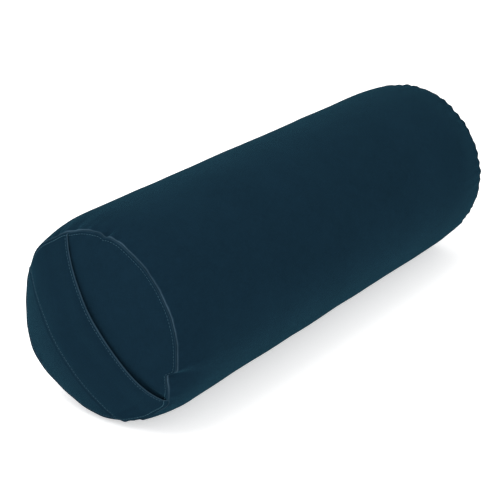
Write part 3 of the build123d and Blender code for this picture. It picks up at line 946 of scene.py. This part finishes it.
def thread(name, colour, sheen_tint):
    """Twisted sewing thread."""
    n = Nodes(name)
    inputs = {"Vector": n.solid(), "Scale": 900.0, "Distortion": 2.0}
    wave = n.add("ShaderNodeTexWave", inputs, bands_direction="DIAGONAL").outputs["Fac"]
    return n.finish(
        Base_Color=n.shade(colour, n.between(wave, 0.7, 1.15)),
        Roughness=0.6,
        Specular_IOR_Level=0.15,
        Sheen_Weight=0.4,
        Sheen_Tint=sheen_tint,
        Normal=n.bump(wave, 0.05 * MM, 0.5),
    )


def metal(name, colour, bare):
    """Lacquered or plated cast zinc: fine grain, scuffs, and brighter rubbed patches."""
    n = Nodes(name)
    place = n.solid()
    scuffs = n.noise(place, 900.0, 6.0, 0.7)
    rubbed = n.between(n.math("MULTIPLY", scuffs, n.noise(place, 260.0)), -0.35, 1.3)
    return n.finish(
        Base_Color=n.mix(rubbed, colour, bare),
        Roughness=n.between(scuffs, 0.28, 0.5),
        Metallic=1.0,
        Normal=n.bump(scuffs, 0.03 * MM, 0.35),
    )


def moulded(name, colour):
    """Moulded zip teeth: satin plastic with slight mottling."""
    n = Nodes(name)
    grain = n.noise(n.solid(), 1500.0, 4.0)
    return n.finish(
        Base_Color=n.shade(colour, n.between(grain, 0.8, 1.2)),
        Roughness=n.between(grain, 0.35, 0.5),
        Normal=n.bump(grain, 0.02 * MM, 0.3),
    )


def husks(name):
    """Loose spelt husks pressed against their case."""
    n = Nodes(name)
    inputs = {"Vector": n.solid(), "Scale": 210.0}
    cells = n.add("ShaderNodeTexVoronoi", inputs).outputs["Position"]
    cracks = n.add("ShaderNodeTexVoronoi", inputs, feature="DISTANCE_TO_EDGE").outputs["Distance"]
    base = n.mix(n.noise(cells, 500.0), linear(122, 84, 46), linear(206, 170, 116))
    return n.finish(Base_Color=base, Roughness=0.75, Normal=n.bump(cracks, 1.5 * MM, 0.8))


# --- filling ---


def pressed_tube(path, turn):
    """Hollows of the cover's tube, which also press into what it holds."""
    return np.minimum(tube_relief(path, turn), 0)


def pressed_cap(path, turn, side):
    """Hollows of an end panel, which also press into what it holds."""
    return np.minimum(cap_relief(path, turn, side), 0)


def filling(material):
    """The husks as one lumpy closed mass that fills the inner case."""
    columns = 180
    turns = round_turns(columns)
    cap_paths = np.linspace(CAP_LENGTH - 3 * MM, 2 * MM, 24)[:, None]
    tube_paths = np.linspace(2 * MM, TUBE_LENGTH - 2 * MM, 150)[:, None]
    parts = (
        (*cap_point(cap_paths, -1, HUSK_INSET), pressed_cap(cap_paths, turns, -1)),
        (*tube_point(tube_paths, HUSK_INSET), pressed_tube(tube_paths, turns)),
        (*cap_point(cap_paths[::-1], 1, HUSK_INSET), pressed_cap(cap_paths[::-1], turns, 1)),
    )
    place, normal, relief = (np.concatenate([part[k] for part in parts]) for k in range(3))
    rng = np.random.default_rng(41)
    lumps = 0.5 * MM * ripples(place.real, turns, rng, 12, (9 * MM, 30 * MM), (-30, 31))
    place = place + (lumps - 0.8 * MM + relief) * normal
    turn = turns + 0 * place.real
    from_seam = np.concatenate([cap_paths, np.minimum(tube_paths, TUBE_LENGTH - tube_paths), cap_paths[::-1]])
    half = len(place) // 2
    for side, rows in ((-1, slice(0, half)), (1, slice(half, None))):
        edge = seam_place(side, HUSK_INSET)
        place[rows] = seam_corrected(place[rows], turn[rows], side, from_seam[rows], HUSK_INSET, edge)
    points = settled(placed(place, turn), HUSK_INSET)
    points = pressed(points, COVER_ZIP, COVER_ZIP.tape_low - COVER_ZIP_TO_HUSKS)
    points = pressed(points, CASE_ZIP, CASE_ZIP.tape_low - CASE_ZIP_TO_HUSKS)
    return piece("husk_mass", points, closed_faces(len(place), columns, False), material)


# --- camera, floor and light ---

PHOTO_AZIMUTH = math.radians(-55.65)
PHOTO_ELEVATION = math.radians(21.32)
CAMERA_DISTANCE = 1.7633
LENS = 104.84
PHOTO_SHIFT = (-0.0513, -0.0336)  # of the photo's crop
WORLD_LIGHT = 0.9
WORLD_SEEN = 1.1  # what the camera sees of it
FLOOR_GLOW = 0.55
FLOOR_HALF = 20.0
WHITE = (1, 1, 1, 1)


def aimed(data, place, aim):
    """A camera or light at a place, turned to look along aim."""
    obj = bpy.data.objects.new(data.name, data)
    obj.location = place
    obj.rotation_mode = "QUATERNION"
    obj.rotation_quaternion = Vector(aim).to_track_quat("-Z", "Y")
    bpy.context.scene.collection.objects.link(obj)
    return obj


def camera():
    """Camera at the photograph's angle, shifted as the photograph is cropped."""
    data = bpy.data.cameras.new("camera")
    data.sensor_width = 36
    data.lens = LENS
    data.shift_x, data.shift_y = PHOTO_SHIFT
    back = np.array([
        math.sin(PHOTO_AZIMUTH) * math.cos(PHOTO_ELEVATION),
        -math.cos(PHOTO_AZIMUTH) * math.cos(PHOTO_ELEVATION),
        math.sin(PHOTO_ELEVATION),
    ])
    bpy.context.scene.camera = aimed(data, AXIS + back * CAMERA_DISTANCE, -back)


def area_light(name, place, size, power, target=(0, 0, 0.1)):
    """A soft round light aimed at the bolster, which the camera doesn't see."""
    data = bpy.data.lights.new(name, "AREA")
    data.shape = "DISK"
    data.size = size
    data.energy = power
    aimed(data, place, Vector(target) - Vector(place)).visible_camera = False


def studio():
    """White floor, white surroundings and soft lights."""
    scene = bpy.context.scene
    scene.view_settings.view_transform = "Standard"
    n = Nodes("floor_paint")
    paint = n.finish(
        Base_Color=n.shade(WHITE, n.between(n.noise(n.solid(), 3.0), 0.86, 0.88)),
        Roughness=0.8,
        Specular_IOR_Level=0.1,
        Emission_Color=WHITE,
        Emission_Strength=FLOOR_GLOW,
    )
    corners = FLOOR_HALF * np.array([(-1, -1, 0), (1, -1, 0), (1, 1, 0), (-1, 1, 0)])
    piece("floor", corners, [(0, 1, 2, 3)], paint)
    world = bpy.data.worlds.new("studio")
    world.use_nodes = True
    background = world.node_tree.nodes["Background"].inputs
    background["Color"].default_value = WHITE
    seen = world.node_tree.nodes.new("ShaderNodeLightPath").outputs["Is Camera Ray"]
    strength = world.node_tree.nodes.new("ShaderNodeMapRange")
    strength.inputs["To Min"].default_value = WORLD_LIGHT
    strength.inputs["To Max"].default_value = WORLD_SEEN
    world.node_tree.links.new(seen, strength.inputs["Value"])
    world.node_tree.links.new(strength.outputs["Result"], background["Strength"])
    scene.world = world
    area_light("top_light", (-0.9, 0.3, 2.4), 1.8, 22)
    area_light("end_light", (-0.72, 0.05, 0.95), 0.3, 1.3, (-HALF, 0, 1.8 * AXIS[2]))
    area_light("front_light", (-1.6, -1.8, 1.4), 1.4, 2.5)


# --- the pieces ---

PETROL = linear(17.5, 37.5, 50.5)
# Pale edge colour: painted highlight on curled cotton edges, with some rubbed wear
PETROL_PALE = linear(56, 78, 93)
PETROL_SHEEN = (0.22, 0.78, 1.0, 1.0)
NATURAL = linear(214, 203, 180)
# The case thread's colour, and also the case's pale edge colour: painted highlight with some rubbed wear
NATURAL_PALE = linear(236, 229, 212)
WARM_SHEEN = (1.0, 0.97, 0.9, 1.0)
WEAVE = 0.5 * MM

cover_cotton = fabric("cover_cotton", PETROL, PETROL_PALE, PETROL_SHEEN, WEAVE)
strap_cotton = fabric("strap_cotton", linear(16.5, 36, 49), PETROL_PALE, PETROL_SHEEN, WEAVE)
cover_thread = thread("cover_thread", linear(44, 69, 84), PETROL_SHEEN)
cover_tape = fabric("cover_zip_tape", linear(15, 33, 45), PETROL_PALE, PETROL_SHEEN, 0.8 * MM)
case_cotton = fabric("case_cotton", NATURAL, NATURAL_PALE, WARM_SHEEN, 0.7 * MM, specular=0.2)
case_thread = thread("case_thread", NATURAL_PALE, WARM_SHEEN)
case_tape = fabric("case_zip_tape", linear(226, 219, 203), NATURAL_PALE, WARM_SHEEN, 0.8 * MM, specular=0.2)
dark_metal = metal("dark_zinc", linear(44, 58, 66), linear(120, 130, 136))
nickel = metal("nickel", linear(168, 168, 166), linear(205, 205, 202))
dark_teeth = moulded("dark_teeth", linear(14, 30, 40))
pale_teeth = moulded("pale_teeth", linear(220, 214, 200))
husk_surface = husks("husks")


def stands_for(obj, node):
    """The piece stands in for a CAD node, which is hidden; unless it is blended, it rides on the cover."""
    if "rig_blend" not in obj:
        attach(obj, "cover")
    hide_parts(node)


def sewn_bag(prefix, cotton, zip_place, columns, inset, reliefs, thickness, flats=()):
    """The side panel and the two end panels of the cover or of the inner case."""
    panel = tube_panel(f"{prefix}_side_cloth", cotton, zip_place, columns, inset, reliefs[0], flats)
    thicken(panel, thickness)
    stands_for(panel, f"{prefix}_side_panel")
    for side, end in ENDS:
        panel = end_panel(f"{prefix}_{end}_end_cloth", cotton, side, columns, inset, reliefs[1])
        thicken(panel, thickness)
        stands_for(panel, f"{prefix}_{end}_end_panel")


def zip_looks(zip_place, tape, teeth, metal_look):
    """The woven tapes of a zip, and the looks of its CAD nodes that stay."""
    prefix = zip_place.prefix
    for side, edge in ((1, "upper"), (-1, "lower")):
        woven = zip_tape(f"{prefix}_woven_tape_{edge}", tape, zip_place, side)
        stands_for(woven, f"{prefix}_zip_tape_{edge}")
    for part in ("teeth_upper", "teeth_lower", "top_stops", "bottom_stop", "slider", "pull"):
        for material_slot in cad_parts[f"{prefix}_zip_{part}"].material_slots:
            material_slot.material = teeth if part.startswith("teeth") else metal_look


ENDS = ((-1, "strap"), (1, "plain"))
inflated = inflate()

sewn_bag("cover", cover_cotton, COVER_ZIP, COLUMNS, 0.0, (tube_relief, cap_relief), FABRIC)
for side, end in ENDS:
    line = stitch_line(side, 0.0, topstitch_relief)
    topstitching, _ = stitches(f"cover_{end}_end_stitching", cover_thread, [line])
    stands_for(topstitching, f"cover_{end}_end_thread")
stands_for(carry_strap(strap_cotton), "carry_strap")
stands_for(strap_threads(cover_thread), "carry_strap_threads")
stands_for(zip_threads(cover_thread), "cover_zip_threads")

case_reliefs = (pressed_tube, pressed_cap)
flats = (COVER_ZIP, COVER_ZIP.tape_low - CASE_CLEAR), (CASE_ZIP, CASE_ZIP.tape_high + CASE_PROUD)
sewn_bag("inner_case", case_cotton, CASE_ZIP, CASE_COLUMNS, CASE_INSET, case_reliefs, CASE_FABRIC, flats)
case_lines = [stitch_line(side, CASE_INSET, pressed_cap) for side, _ in ENDS]
case_stitching, _ = stitches("inner_case_end_stitching", case_thread, case_lines)
stands_for(case_stitching, "inner_case_end_threads")
stands_for(filling(husk_surface), "husk_filling")

zip_looks(COVER_ZIP, cover_tape, dark_teeth, dark_metal)
zip_looks(CASE_ZIP, case_tape, pale_teeth, nickel)

studio()
camera()
